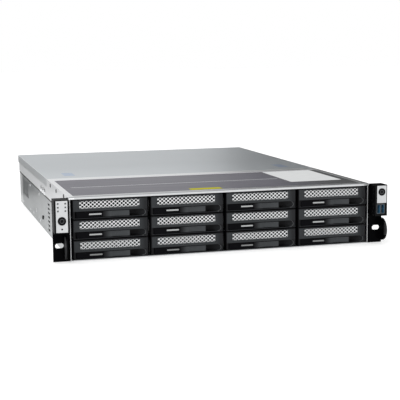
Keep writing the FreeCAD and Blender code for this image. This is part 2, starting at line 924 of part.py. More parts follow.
def tray_sled():
    """Open sheet-metal carrier behind the bezel: two pierced walls with runners, tied by two low bars."""
    middle = tray_width / 2
    wall_top = sled_low + sled_wall_height
    wall = block(middle + sled_half - sled_wall, middle + sled_half, bezel_depth, tray_length,
                 sled_low, wall_top)
    span = (tray_length - bezel_depth - window_margin) / sled_windows
    for index in range(sled_windows):
        start = bezel_depth + window_margin + index * span
        wall = wall.cut(block(middle, middle + tray_width, start, start + span - window_margin,
                              sled_low + window_low, wall_top - window_edge))
    runner = block(middle + sled_half, middle + sled_half + runner_width, bezel_depth + window_margin,
                   tray_length, runner_low, runner_low + runner_height)
    wall = wall.fuse(runner)
    other = wall.mirror(FreeCAD.Vector(middle, 0, 0), FreeCAD.Vector(1, 0, 0))
    left = middle - sled_half
    right = middle + sled_half
    front_bar = block(left, right, bezel_depth, bezel_depth + sled_bar, sled_low, sled_low + sled_bar_height)
    rear_bar = block(left, right, tray_length - sled_bar, tray_length, sled_low, sled_low + sled_bar_height)
    return wall.fuse([other, front_bar, rear_bar]).removeSplitter()


def tray_grille():
    """Perforated sheet in the bezel's window: two staggered rows of diamond openings."""
    left = grille_left
    right = tray_width - grille_right
    front = grille_setback
    pitch = (right - left - 2 * grille_margin) / grille_columns
    rise = (grille_high - grille_low - 2 * grille_margin) / 3
    half_width = pitch / 2 - grille_bar / 2
    half_height = rise - grille_bar / 2
    wires = [outline([(left, front, grille_low), (right, front, grille_low), (right, front, grille_high),
                      (left, front, grille_high)])]
    for row, count in ((0, grille_columns), (1, grille_columns - 1)):
        up = grille_low + grille_margin + (1 + row) * rise
        for index in range(count):
            x = left + grille_margin + (index + (1 + row) / 2) * pitch
            wires.append(outline([(x - half_width, front, up), (x, front, up - half_height),
                                  (x + half_width, front, up), (x, front, up + half_height)]))
    return Part.Face(wires).extrude(FreeCAD.Vector(0, grille_sheet, 0))


def tray_lever():
    """Pull lever: a bar round its pivot at the left, a thumb hollow near the free end and pivot pins."""
    front = lever_setback
    back = front + 2 * lever_half_thickness
    pad = lever_end - lever_pad
    points = [
        (pad, front),
        (pad + lever_pad_run, front + lever_pad_depth),
        (lever_end, front),
        (lever_end, back - lever_half_thickness),
        (lever_end - lever_half_thickness, back),
    ]
    for step in range(heel_steps + 1):
        turn = math.pi / 2 + math.pi * step / heel_steps
        points.append((lever_pivot_left + lever_half_thickness * math.cos(turn),
                       lever_pivot_back + lever_half_thickness * math.sin(turn)))
    bar = plate_z(points, lever_low, lever_high)
    pin = plate_z(ring(pivot_pin, pivot_sides, lever_pivot_left, lever_pivot_back),
                  channel_low - pivot_reach, channel_high + pivot_reach)
    return bar.fuse(pin)


def save(name, shape):
    """Write one piece in the row's frame."""
    placed = moved(shape, to_origin.x, to_origin.y, to_origin.z)
    placed.exportStep("parts/" + name + ".step")


os.makedirs("parts", exist_ok=True)

save("chassis_base", chassis_base())
save("drive_cage", drive_cage())
save("front_cover", front_cover())
save("rear_cover", rear_cover())
save("rear_panel", rear_panel())
save("backplane", backplane())
save("fan_frames", fan_frames())
save("motherboard", motherboard())
save("cpu_heatsink", cpu_heatsink())
save("rear_ports", rear_ports())
save("left_ear", left_ear())
save("right_ear", right_ear())
save("ear_faceplates", ear_faceplates())
save("power_button", button(-1, power_button_radius, power_button_up))
save("id_button", button(1, id_button_radius, id_button_up))
save("status_lenses", status_lenses())
save("usb_ports", usb_ports())

for fan, fan_x in enumerate(fan_centres(), start=1):
    save("fan_rotor_%d" % fan, fan_rotor(fan_x))

for module in range(2):
    save("psu_%d" % (module + 1), psu(module))
    save("psu_latch_%d" % (module + 1), psu_latch(module))

carrier = Part.makeCompound([tray_bezel(), tray_sled()])
grille = tray_grille()
lever = tray_lever()
for row in range(rows):
    for column in range(columns):
        number = row * columns + column + 1
        x = column_centre(column) - tray_width / 2
        save("drive_tray_%d" % number, moved(carrier, x, 0, row_low(row)))
        save("tray_grille_%d" % number, moved(grille, x, 0, row_low(row)))
        save("tray_lever_%d" % number, moved(lever, x, 0, row_low(row)))
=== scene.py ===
import math

import bmesh
import bpy
from mathutils import Matrix, Quaternion, Vector


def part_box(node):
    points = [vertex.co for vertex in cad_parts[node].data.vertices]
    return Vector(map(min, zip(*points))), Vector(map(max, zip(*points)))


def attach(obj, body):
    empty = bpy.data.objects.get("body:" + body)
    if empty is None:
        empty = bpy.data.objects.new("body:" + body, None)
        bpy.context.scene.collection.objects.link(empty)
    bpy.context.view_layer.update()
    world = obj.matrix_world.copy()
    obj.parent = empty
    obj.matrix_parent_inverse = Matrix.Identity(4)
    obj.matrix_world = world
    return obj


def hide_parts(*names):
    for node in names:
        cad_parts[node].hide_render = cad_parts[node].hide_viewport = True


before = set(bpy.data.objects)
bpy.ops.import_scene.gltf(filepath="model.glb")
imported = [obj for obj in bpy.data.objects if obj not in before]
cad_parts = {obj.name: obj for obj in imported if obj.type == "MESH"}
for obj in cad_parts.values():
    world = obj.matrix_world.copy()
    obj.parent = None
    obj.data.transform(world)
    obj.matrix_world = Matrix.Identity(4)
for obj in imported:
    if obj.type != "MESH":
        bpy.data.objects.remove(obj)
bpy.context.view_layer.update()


# Case floor and side walls: zinc-plated sheet steel, folded from one blank, with a step along the top.
# The plating is satin, with faint crystals and a rolling grain along the depth. It is painted paler towards
# the ears and darker towards the rear as light and shade, paler on the step and at the rear margin as
# painted highlights, and near black at the edges of the hook slots as painted shade. Sizes here are in
# millimetres, the frame's own in metres.

metre = 1000.0


class Socket:
    """One output in a material's node tree. Sums, products and comparisons of sockets add the Math nodes."""

    def __init__(self, tree, output):
        self.tree = tree
        self.output = output

    def node(self, kind, settings, inputs, output=0):
        """A new node: its settings first, then its inputs from numbers or other sockets."""
        made = self.tree.nodes.new("ShaderNode" + kind)
        for name, value in settings.items():
            setattr(made, name, value)
        for name, value in inputs.items():
            if isinstance(value, Socket):
                self.tree.links.new(value.output, made.inputs[name])
            else:
                made.inputs[name].default_value = value
        return Socket(self.tree, made.outputs[output])

    def maths(self, operation, first, second=0.0):
        return self.node("Math", {"operation": operation}, {0: first, 1: second})

    def __add__(self, other):
        return self.maths("ADD", self, other)

    __radd__ = __add__

    def __sub__(self, other):
        return self.maths("SUBTRACT", self, other)

    def __rsub__(self, other):
        return self.maths("SUBTRACT", other, self)

    def __mul__(self, other):
        return self.maths("MULTIPLY", self, other)

    __rmul__ = __mul__

    def __gt__(self, other):
        return self.maths("GREATER_THAN", self, other)

    def __lt__(self, other):
        return self.maths("LESS_THAN", self, other)

    def either(self, other):
        """The larger of two values, so one where either of two masks is one."""
        return self.maths("MAXIMUM", self, other)

    def between(self, low, high):
        """One from a low to a high value, zero outside."""
        return (self > low) * (self < high)

    def size(self):
        """The value without its sign."""
        return self.maths("ABSOLUTE", self)

    def within(self, pitch):
        """How far a value lies past the last start of a pattern that repeats."""
        turns = self * (1 / pitch)
        return turns.maths("FRACT", turns) * pitch

    def ramp(self, start, end, top=1.0):
        """Zero up to the start, then a soft rise to the top at the end."""
        return self.node("MapRange", {"interpolation_type": "SMOOTHSTEP"}, {
            "Value": self, "From Min": start, "From Max": end, "To Min": 0.0, "To Max": top})

    def axes(self):
        """The X, Y and Z of a position, in millimetres."""
        scaled = self.node("Mapping", {}, {"Vector": self, "Scale": (metre, metre, metre)})
        split = self.node("SeparateXYZ", {}, {"Vector": scaled}).output.node
        return [Socket(self.tree, output) for output in split.outputs]

    def noise(self, size, detail=2.0):
        """Soft noise with blotches about that many millimetres across, on each axis or on all."""
        sizes = size if isinstance(size, tuple) else (size, size, size)
        stretched = self.node("Mapping", {}, {"Vector": self, "Scale": [metre / s for s in sizes]})
        return self.node("TexNoise", {}, {"Vector": stretched, "Scale": 1.0, "Detail": detail})

    def blend(self, first, second):
        """Mix two colours by this socket's value."""
        ends = [c if isinstance(c, Socket) else (*c, 1.0) for c in (first, second)]
        return self.node("Mix", {"data_type": "RGBA"}, {0: self, 6: ends[0], 7: ends[1]}, 2)

    def bump(self, depth, strength):
        """A surface normal from this height, with its depth in millimetres."""
        return self.node("Bump", {}, {"Height": self, "Distance": depth / metre, "Strength": strength})


def new_finish(name, colour, roughness, **constants):
    """A new material with even values on its shader; gives its Object position and a call to vary one."""
    sockets = {"metallic": "Metallic", "gloss": "Specular IOR Level", "coat": "Coat Weight",
               "coat_roughness": "Coat Roughness", "tint": "Specular Tint"}
    material = bpy.data.materials.new(name)
    material.use_nodes = True
    tree = material.node_tree
    shader = tree.nodes["Principled BSDF"]
    shader.inputs["Base Color"].default_value = (*colour, 1.0)
    shader.inputs["Roughness"].default_value = roughness
    for key, value in constants.items():
        shader.inputs[sockets[key]].default_value = value
    place = Socket(tree, tree.nodes.new("ShaderNodeTexCoord").outputs["Object"])

    def vary(key, socket):
        tree.links.new(socket.output, shader.inputs[key])

    return material, place, vary


def soften(node, width):
    """Take the sharpness off the folded or moulded edges of a solid of the frame."""
    weld = node.modifiers.new("joined", "WELD")
    weld.merge_threshold = 0.01 / metre
    flat = node.modifiers.new("flat_faces", "DECIMATE")
    flat.decimate_type = "DISSOLVE"
    flat.angle_limit = math.radians(1)
    edge = node.modifiers.new("edges", "BEVEL")
    edge.width = width / metre
    edge.segments = 2
    edge.limit_method = "ANGLE"
    edge.angle_limit = math.radians(35)


def dress(material, *names, edge=0.0):
    """Put a finish on solids of the frame that show as they are, and soften their edges."""
    for name in names:
        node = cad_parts[name]
        node.data.materials.clear()
        node.data.materials.append(material)
        if edge:
            soften(node, edge)


def zinc_finish(name, dark, bright, roughness, sheen):
    """Plated sheet: each crystal a little lighter or darker and smoother or rougher than the next."""
    crystals_per_metre, grain_size, cloud_size = 170.0, (0.9, 40.0, 0.9), 90.0
    material, place, vary = new_finish(name, bright, roughness, metallic=1.0,
                                       tint=(sheen, sheen, sheen, 1.0))
    cells = place.node("TexVoronoi", {}, {"Vector": place, "Scale": crystals_per_metre}, "Color")
    crystal = cells.node("SeparateColor", {}, {"Color": cells}, "Red")
    grain = place.noise(grain_size, 3.0)
    cloud = place.noise(cloud_size)
    colour = (crystal * 0.35 + grain * 0.3 + cloud * 0.35).blend(dark, bright)
    vary("Base Color", colour)
    vary("Roughness", crystal * 0.06 + grain * 0.08 + (roughness - 0.07))
    vary("Normal", grain.bump(0.03, 0.25))
    return material, place, vary, colour


band_from, slot_shade_to = 217.2, 217.8
hooks_from, hooks_to, hooks_up = -66.0, -6.0, 61.0
pale_from, pale_to, pale_share = -290.0, 20.0, 0.45
dull_from, dull_to, dull_share = -100.0, 160.0, 0.30
margin_from, margin_to = 255.0, 272.0
wall_zinc, place, vary, colour = zinc_finish("wall_zinc", (0.40, 0.415, 0.42), (0.63, 0.645, 0.65),
                                             roughness=0.40, sheen=0.60)
across, behind, up = place.axes()
outside = across.size()
band = outside > band_from
# Painted shade: the edges of the hook slots are near black, standing in for the slots' shadow.
slot_painted_shade = band * (outside < slot_shade_to) * (up > hooks_up) * behind.between(hooks_from, hooks_to)
# Painted light: paler towards the ears and darker towards the rear; the step band and the rear margin are
# painted paler as highlights.
pale = pale_share - behind.ramp(pale_from, pale_to, pale_share)
rear_painted_shade = behind.ramp(dull_from, dull_to, dull_share)
margin = behind.ramp(margin_from, margin_to)
colour = pale.blend(rear_painted_shade.blend(colour, (0.28, 0.29, 0.295)), (0.86, 0.87, 0.88))
colour = band.blend(margin.blend(colour, (0.62, 0.63, 0.635)), (0.76, 0.77, 0.78))
vary("Base Color", slot_painted_shade.blend(colour, (0.03, 0.03, 0.032)))
vary("Metallic", 1.0 - band.either(margin) * 0.6)
dress(wall_zinc, "chassis_base", edge=0.5)


# Rivets and shoulder studs of the side walls: plated steel, pressed into the sheet from outside.
# They hold the cage and the slide rails, low down and in pairs on both walls.

def add_head(bm, centre, axis, radius, height, crown):
    """A round head that stands on a face along an axis and narrows to a flat crown."""
    turn = Vector((0, 0, 1)).rotation_difference(Vector(axis)).to_matrix().to_4x4()
    place = Matrix.Translation(Vector(centre) + Vector(axis) * height / 2) @ turn
    bmesh.ops.create_cone(bm, cap_ends=True, segments=24, radius1=radius, radius2=crown,
                          depth=height, matrix=place)


def add_side_heads(bm, half, spots, radius, height, crown):
    """Heads on both sides of the case, at places behind its front edge and above its foot."""
    for side in (-1, 1):
        for behind, up in spots:
            spot = (side * half, front_edge + behind, up)
            add_head(bm, spot, (side, 0, 0), radius, height, crown)


def round_edges(bm, width, segments=2, edges=None):
    """Bevel the edges given, or all that turn sharply."""
    if edges is None:
        edges = [e for e in bm.edges if len(e.link_faces) == 2 and e.calc_face_angle() > 0.5]
    bmesh.ops.bevel(bm, geom=edges, offset=width, segments=segments, profile=0.5, affect="EDGES",
                    material=-1, clamp_overlap=True)


def to_object(name, bm, material):
    """Turn a shape into an object with one material."""
    mesh = bpy.data.meshes.new(name)
    bm.to_mesh(mesh)
    bm.free()
    mesh.materials.append(material)
    made = bpy.data.objects.new(name, mesh)
    bpy.context.scene.collection.objects.link(made)
    return made


def close_piece(name, bm, material, body="chassis", stands_for=()):
    """Turn a shape in millimetres into an object in metres that rides on a body of the frame."""
    bmesh.ops.scale(bm, vec=[1 / metre] * 3, verts=bm.verts[:])
    made = to_object(name, bm, material)
    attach(made, body)
    if stands_for:
        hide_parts(*stands_for)


def corners(node):
    """Low and high corner of a solid of the frame, in millimetres."""
    low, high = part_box(node)
    return low * metre, high * metre


case_low, case_high = corners("chassis_base")
front_edge = case_low.y
step_half, step_depth = case_high.x, 1.0
wall_half = step_half - step_depth
rivet_spots = ((320, 8), (409, 8), (452, 8), (560, 8), (120, 30), (160, 30), (330, 50), (452, 50))
rivets = bmesh.new()
add_side_heads(rivets, wall_half, rivet_spots, radius=2.6, height=0.9, crown=1.5)
round_edges(rivets, 0.2)
close_piece("wall_rivets", rivets, wall_zinc)


# Rail hooks: plated lugs pressed out below the three slots in the upper part of each wall, painted near
# white as a highlight.
# A slide rail's keeper snaps behind them, so they stand a little proud of the sheet.

def add_box(bm, low, high):
    """A block between two corners, in millimetres."""
    low, high = Vector(low), Vector(high)
    place = Matrix.Translation((low + high) / 2) @ Matrix.Diagonal(high - low).to_4x4()
    bmesh.ops.create_cube(bm, size=1.0, matrix=place)


def add_pair(bm, near, far, front, back, bottom, top, middle=0.0):
    """A block on the right and its mirror image on the left, from near to far off the middle."""
    for side in (-1, 1):
        inner, outer = sorted((middle + side * near, middle + side * far))
        add_box(bm, (inner, front, bottom), (outer, back, top))


def mottled_finish(name, dark, bright, blotch, speck, rough, **constants):
    """A finish with blotches between two colours and specks between two values of roughness."""
    material, place, vary = new_finish(name, bright, rough[0], **constants)
    vary("Base Color", place.noise(blotch).blend(dark, bright))
    vary("Roughness", place.noise(speck) * (rough[1] - rough[0]) + rough[0])
    return material


hooks = bmesh.new()
for start in (248.5, 270.5, 292.5):
    front = front_edge + start
    add_pair(hooks, near=step_half - 0.5, far=step_half + 1.8, front=front, back=front + 8.0,
             bottom=59.2, top=63.3)
round_edges(hooks, 0.3)
hook_painted_highlight = mottled_finish("hook_painted_highlight", (0.86, 0.87, 0.88), (0.94, 0.95, 0.96),
                            blotch=6.0, speck=1.5, rough=(0.30, 0.44))
close_piece("rail_hooks", hooks, hook_painted_highlight)


# Rail bushes: short collars pressed into the holes that take the screws of a slide rail.
# The front one on each wall is black-oxide steel, the flatter rear one is plated like the wall.

def spin_ring(bm, section, centre, axis, steps):
    """A closed ring: its section, given by its corners, spun round an axis."""
    outline = [bm.verts.new(corner) for corner in section]
    edges = [bm.edges.new((outline[step], outline[step - 1])) for step in range(len(outline))]
    bmesh.ops.spin(bm, geom=outline + edges, cent=centre, axis=axis, angle=2 * math.pi, steps=steps,
                   use_merge=True)
    bmesh.ops.remove_doubles(bm, verts=bm.verts[:], dist=0.001)
    bmesh.ops.recalc_face_normals(bm, faces=bm.faces[:])


bush_bore, bush_rim, bush_root, bush_up, bush_chamfer = 2.3, 3.35, 0.6, 18.0, 0.3
bush_black = mottled_finish("bush_black", (0.004, 0.004, 0.005), (0.012, 0.012, 0.013),
                            blotch=4.0, speck=1.2, rough=(0.50, 0.64), gloss=0.1)
for name, behind, proud, finish in (("front_rail_bushes", 285.0, 1.7, bush_black),
                                    ("rear_rail_bushes", 370.0, 0.7, wall_zinc)):
    bushes = bmesh.new()
    profile = ((-bush_root, bush_bore), (proud, bush_bore), (proud, bush_rim - bush_chamfer),
               (proud - bush_chamfer, bush_rim), (-bush_root, bush_rim))
    for side in (-1, 1):
        section = [(side * (wall_half + out), front_edge + behind, bush_up + radius)
                   for out, radius in profile]
        spin_ring(bushes, section, (0, front_edge + behind, bush_up), (1, 0, 0), steps=28)
    close_piece(name, bushes, finish)


# Step shade strips: thin black strips under the step of each wall, a dark piece standing in for the step's
# shadow line as painted shade.
# They run from behind the ear to the rear edge and stand less far out than the step.

shade_strips = bmesh.new()
add_pair(shade_strips, near=wall_half, far=wall_half + 0.9, front=front_edge + 46.0, back=case_high.y - 2.0,
         bottom=56.2, top=58.5)
round_edges(shade_strips, 0.15, 1)
shade_strip_black = mottled_finish("shade_strip_black", (0.015, 0.015, 0.016), (0.03, 0.03, 0.031),
                            blotch=30.0, speck=1.5, rough=(0.60, 0.76), gloss=0.2)
close_piece("step_shade_strips", shade_strips, shade_strip_black)


# Drive cage: roof sheet and upright dividers with pressed ledges, spot-welded and coated matt black.
# It stands on the case floor and carries the trays, and only its edges show between them.

black_coat, place, vary = new_finish("cage_black", (0.002, 0.002, 0.0025), 0.6, gloss=0.0, coat=0.03,
                                     coat_roughness=0.4)
vary("Roughness", place.noise(1.2) * 0.12 + 0.52)
dress(black_coat, "drive_cage")


# Backplane: a coated circuit board across the back of the bays, one black drive socket for each tray.
# Fine copper runs show through the green coat, and the sockets stand on its front face.

def board_finish(name, coat, copper):
    """Circuit board: runs under a clear green coat, with bright solder points here and there."""
    material, place, vary = new_finish(name, coat, 0.38, coat=0.3)
    slanted = place.node("Mapping", {}, {"Vector": place, "Rotation": (0.7, 0.7, 0.0)})
    runs = place.node("TexBrick", {"offset": 0.35}, {
        "Vector": slanted, "Scale": 90.0, "Mortar Size": 0.06, "Mortar Smooth": 0.2}, "Fac")
    speck = place.noise(2.4) > 0.66
    vary("Roughness", 0.42 - speck * 0.12)
    colour = speck.blend(runs.blend(copper, coat), (0.20, 0.20, 0.17))
    return material, place, vary, colour


board_sheet = 1.7
backplane_green, place, vary, colour = board_finish("backplane_green", (0.010, 0.055, 0.028),
                                                    (0.018, 0.085, 0.042))
plug = place.axes()[1] < corners("backplane")[1].y - board_sheet
vary("Base Color", plug.blend(colour, (0.012, 0.012, 0.012)))
dress(backplane_green, "backplane")


# Fans: black moulded frames on a cross bracket, each with a six-bladed rotor on a short steel shaft.
# Plain glass-filled plastic with a matt skin.

fan_black, place, vary = new_finish("fan_black", (0.016, 0.016, 0.017), 0.45)
vary("Roughness", place.noise(1.5) * 0.14 + 0.38)
vary("Normal", place.noise(0.5).bump(0.02, 0.3))
dress(fan_black, "fan_frames", "fan_rotor_1", "fan_rotor_2", "fan_rotor_3")


# Main board: a green board on six brass standoffs, with memory modules upright in their sockets.
# The board's copper shows through its coat; the modules carry rows of small black chips.

chip_pitch, chip_gap, chips_low, chips_high, standoff_top = 13.5135, 2.973, 16.0, 30.0, 7.1
main_green, place, vary, colour = board_finish("board_green", (0.012, 0.075, 0.035), (0.022, 0.12, 0.055))
behind, up = place.axes()[1:]
chip = (behind.within(chip_pitch) > chip_gap) * up.between(chips_low, chips_high)
brass = up < standoff_top
vary("Base Color", brass.blend(chip.blend(colour, (0.010, 0.010, 0.011)), (0.55, 0.40, 0.16)))
vary("Metallic", brass)
dress(main_green, "motherboard")


# Parts soldered to the main board: rows of power capacitors and black connector headers.
# They stand on the board's top face, clear of the memory and of the processor's cooler.

board_low, board_top = corners("motherboard")[0], 8.8
can_start, can_pitch, can_count, can_radius, can_height, sleeve_top = 38.0, 14.0, 7, 3.6, 9.5, 17.8
cans = bmesh.new()
for behind in (36, 46, 180, 192):
    for step in range(can_count):
        spot = (board_low.x + can_start + step * can_pitch, board_low.y + behind, board_top)
        add_head(cans, spot, (0, 0, 1), can_radius, can_height, can_radius)
round_edges(cans, 0.5)
can_grey, place, vary = new_finish("can_grey", (0.42, 0.43, 0.44), 0.35, metallic=1.0)
bare = place.axes()[2] > sleeve_top
vary("Roughness", place.noise(2.0) * 0.15 + 0.28)
vary("Base Color", bare.blend((0.03, 0.03, 0.05), (0.55, 0.56, 0.57)))
close_piece("board_capacitors", cans, can_grey)

headers = bmesh.new()
for across, behind, width, length, tall in (
        (222, 44, 34, 8, 9), (262, 44, 18, 8, 9), (225, 66, 5, 60, 7), (240, 66, 5, 60, 7),
        (280, 80, 9, 30, 6), (280, 130, 9, 30, 6), (150, 196, 42, 6, 8)):
    low = Vector((board_low.x + across, board_low.y + behind, board_top))
    add_box(headers, low, low + Vector((width, length, tall)))
round_edges(headers, 0.4)
close_piece("board_headers", headers, fan_black)


# Coolers of the main board: aluminium extrusions, a tall comb over the processor and a low one beside it.
# Bare metal, with fine saw marks across the fins.

cooler, place, vary = new_finish("cooler_aluminium", (0.62, 0.63, 0.64), 0.34, metallic=1.0)
saw = place.noise((12.0, 0.5, 12.0), 3.0)
vary("Roughness", saw * 0.16 + 0.28)
vary("Base Color", saw.blend((0.54, 0.55, 0.56), (0.66, 0.67, 0.68)))
dress(cooler, "cpu_heatsink")
block_side, block_height, fin_count, fin_pitch, fin_inset = 40.0, 4.0, 9, 4.82, 0.1
fin_width, fin_foot, fin_height, block_across, block_behind = 1.2, 3.8, 9.2, 232.0, 142.0
chip_block = bmesh.new()
corner = Vector((board_low.x + block_across, board_low.y + block_behind, board_top))
add_box(chip_block, corner, corner + Vector((block_side, block_side, block_height)))
for step in range(fin_count):
    fin = corner + Vector((fin_inset + step * fin_pitch, fin_inset, fin_foot))
    add_box(chip_block, fin, fin + Vector((fin_width, block_side - 2 * fin_inset, fin_height)))
round_edges(chip_block, 0.15, 1)
close_piece("chip_cooler", chip_block, cooler)


# Rear ports: bright tin-plated shells on the board's edge, open to the rear.
# Inside each mouth sits a dark insulator, so only the rims shine.

port_rim = 0.8
port_steel, place, vary = new_finish("port_steel", (0.55, 0.56, 0.57), 0.3, metallic=1.0)
mouth = place.axes()[1] < corners("rear_ports")[1].y - port_rim
vary("Base Color", mouth.blend((0.58, 0.59, 0.60), (0.05, 0.05, 0.052)))
vary("Roughness", place.noise(1.5) * 0.12 + 0.26)
dress(port_steel, "rear_ports")


# Rear panel: plated sheet like the walls, with vent slots, port cut-outs and covered card slots.
# The bay of the power modules is folded from the same sheet, with one shelf between them.

zinc = zinc_finish("zinc_steel", (0.40, 0.415, 0.42), (0.50, 0.515, 0.52), roughness=0.40, sheen=0.7)[0]
dress(zinc, "rear_panel", edge=0.3)
panel_rear = corners("rear_panel")[1].y
edge_spots = [(across, up) for across in (-205, -60, 60, 120) for up in (6, 80)]
card_spots = [(across, 79.5) for across in (78.5, 98.8, 119.1)]
panel_screws = bmesh.new()
for spots, radius, height, crown in ((edge_spots, 2.8, 1.2, 2.2), (card_spots, 2.4, 1.4, 1.9)):
    for across, up in spots:
        add_head(panel_screws, (across, panel_rear, up), (0, 1, 0), radius, height, crown)
round_edges(panel_screws, 0.25)
close_piece("panel_screws", panel_screws, port_steel)


# Power modules: plain plated cases with a black mains inlet, a slotted fan opening and a pull handle.
# The handle is black moulded nylon; the inlet is a black insert with three dark pins.

handle_reach, module_skin, slots_width, slots_depth = 24.0, 0.2, 30.0, 1.8
inlet_left, inlet_right, inlet_depth = 36.2, 11.2, 16.5
module_low, module_high = corners("psu_1")
module_rear = module_high.y - handle_reach
module_grey, place, vary = new_finish("module_grey", (0.40, 0.41, 0.41), 0.4, metallic=1.0)
across, behind = place.axes()[:2]
under_skin = module_rear - module_skin
handle = behind > module_rear + module_skin
inlet = across.between(module_high.x - inlet_left, module_high.x - inlet_right)
inlet = inlet * behind.between(module_rear - inlet_depth, under_skin)
# The walls of the fan slots are painted near black as shade.
slots = (across < module_low.x + slots_width) * behind.between(module_rear - slots_depth, under_skin)
dark = handle.either(inlet).either(slots)
grain = place.noise((0.8, 30.0, 0.8), 3.0)
plated = grain.blend((0.36, 0.37, 0.37), (0.44, 0.45, 0.45))
vary("Base Color", dark.blend(plated, (0.012, 0.012, 0.012)))
vary("Metallic", 1.0 - dark)
vary("Roughness", grain * 0.12 + 0.34)
dress(module_grey, "psu_1", "psu_2", edge=0.4)


# Release tabs of the power modules: green moulded nylon, pressed sideways by the thumb.
# Four ribs moulded on the outer side of each tab give the thumb a hold.

latch_green = mottled_finish("latch_green", (0.012, 0.24, 0.12), (0.018, 0.28, 0.14),
                             blotch=5.0, speck=1.0, rough=(0.34, 0.46))
dress(latch_green, "psu_latch_1", "psu_latch_2", edge=0.3)
rib_count, rib_pitch, rib_width, rib_root, rib_proud, rib_end = 4, 2.4, 1.0, 0.2, 0.5, 1.2
for number in (1, 2):
    low, high = corners("psu_latch_%d" % number)
    ribs = bmesh.new()
    for step in range(1, rib_count + 1):
        rear = high.y - step * rib_pitch
        add_box(ribs, (high.x - rib_root, rear, low.z + rib_end),
                (high.x + rib_proud, rear + rib_width, high.z - rib_end))
    round_edges(ribs, 0.2)
    close_piece("latch_ribs_%d" % number, ribs, latch_green, "module_latch_%d" % number)


# Tray bezels: dark grey moulded fronts with a window above and a lever channel below.
# The channel ends on the right in a finger scoop that rises to the face in a hollow curve.
# Openings are given by their left, right, lower and upper edges.

tray_count = 12
bezel_width, bezel_depth, bezel_height = 103.2, 14.0, 26.5
window, window_set = (9.1, 92.2, 14.1, 24.1), 1.2
channel, channel_depth = (3.0, 100.2, 1.0, 10.1), 11.0
scoop_start, scoop_lip, scoop_hollow, scoop_corner = 79.8, 0.8, 2.8, 3.4
scoop_lines = [scoop_start + 2.0 * step for step in range(9)]
window_corner = Vector((window[0], window_set, window[2]))
snap = 0.01


def cut_across(bm, axis, values, sign=1, trim=False):
    """Cut a shape by planes across an axis; trimming takes off what lies past them."""
    for value in values:
        point, normal = Vector(), Vector()
        point[axis], normal[axis] = value, sign
        bmesh.ops.bisect_plane(bm, geom=bm.verts[:] + bm.edges[:] + bm.faces[:], dist=0.0001,
                               plane_co=point, plane_no=normal, clear_outer=trim)


def facing(bm, axis, bounds, signs=(-1, 1)):
    """Faces that look along an axis and lie between low and high bounds on the other two."""
    first, second = [other for other in range(3) if other != axis]
    found = []
    for face in bm.faces:
        middle = face.calc_center_median()
        inside = bounds[0] < middle[first] < bounds[1] and bounds[2] < middle[second] < bounds[3]
        if inside and any(face.normal[axis] * sign > 0.9 for sign in signs):
            found.append(face)
    return found


def edges_along(bm, axis):
    """Straight edges that run along an axis."""
    return [e for e in bm.edges if (e.verts[0].co - e.verts[1].co).normalized()[axis] ** 2 > 0.99]


def fit_to_trays(shape, name, material, body, stands_for=None):
    """A copy of a shape for each tray or lever, set at the lower left front corner of the tray's face."""
    for number in range(1, tray_count + 1):
        one = shape.copy()
        corner = corners("tray_grille_%d" % number)[0] - window_corner
        bmesh.ops.translate(one, vec=corner, verts=one.verts[:])
        replaced = ["%s_%d" % (stands_for, number)] if stands_for else []
        close_piece("%s_%d" % (name, number), one, material, "%s_%d" % (body, number), replaced)
    shape.free()


bezel = bmesh.new()
add_box(bezel, (0, 0, 0), (bezel_width, bezel_depth, bezel_height))
cut_across(bezel, 0, [*window[:2], *channel[:2], *scoop_lines])
cut_across(bezel, 2, [*window[2:], *channel[2:]])
bmesh.ops.delete(bezel, geom=facing(bezel, 1, window), context="FACES")
bmesh.ops.bridge_loops(bezel, edges=[e for e in bezel.edges if e.is_boundary])
bezel.normal_update()
mouth = facing(bezel, 1, channel, [-1])
pocket = bmesh.ops.extrude_face_region(bezel, geom=mouth)
bmesh.ops.delete(bezel, geom=mouth, context="FACES")
for vert in [v for v in pocket["geom"] if isinstance(v, bmesh.types.BMVert)]:
    along = max(0.0, (vert.co.x - scoop_start) / (channel[1] - scoop_start))
    rise = (channel_depth - scoop_lip) * along - 4 * scoop_hollow * along * (1 - along)
    vert.co.y = channel_depth - rise
bmesh.ops.recalc_face_normals(bezel, faces=bezel.faces[:])
scoop_end = [e for e in edges_along(bezel, 1)
             if all(abs(v.co.x - channel[1]) < snap and channel[2] - snap < v.co.z < channel[3] + snap
                    for v in e.verts)]
round_edges(bezel, scoop_corner, 5, scoop_end)
round_edges(bezel, 0.35)

first, beside, above = [corners("tray_grille_%d" % number)[0] for number in (1, 2, 5)]
first_corner = first - window_corner
column_pitch, row_pitch = beside.x - first.x, above.z - first.z


def tray_across(place):
    """How far right of the left edge of its own tray a position lies, in millimetres."""
    return (place.axes()[0] - first_corner.x).within(column_pitch)


rim_centre, rim_squares, lap_below, lap_above = (95.8, 5.55), (18.5, 23.5), 0.1, 0.3
face_depth, shade_line_low, shade_line_high, shade_line_left = 1.4, 0.45, 25.3, 0.9
tray_grey, place, vary = new_finish("tray_black", (0.036, 0.039, 0.042), 0.46, gloss=0.12)
behind, height = place.axes()[1:]
across = tray_across(place)
up = (height - first_corner.z).within(row_pitch)
in_channel = up.between(channel[2] - lap_below, channel[3] + lap_above)
# Painted light and shade: the black channel is painted lighter towards the scoop's right end, where the
# scoop turns to the light; the bezel's right end, its sides behind the face and thin lines along its edges
# are painted shade.
scoop_painted_light = across.ramp(start=86.0, end=100.0, top=0.5)
end_shade = across.ramp(start=91.0, end=101.0, top=0.62)
lower = in_channel * (1.0 - scoop_painted_light)
inner_side = (behind > first_corner.y + face_depth) * (1.0 - in_channel)
edge_shade = inner_side.either(up < shade_line_low).either(up > shade_line_high).either(across < shade_line_left)
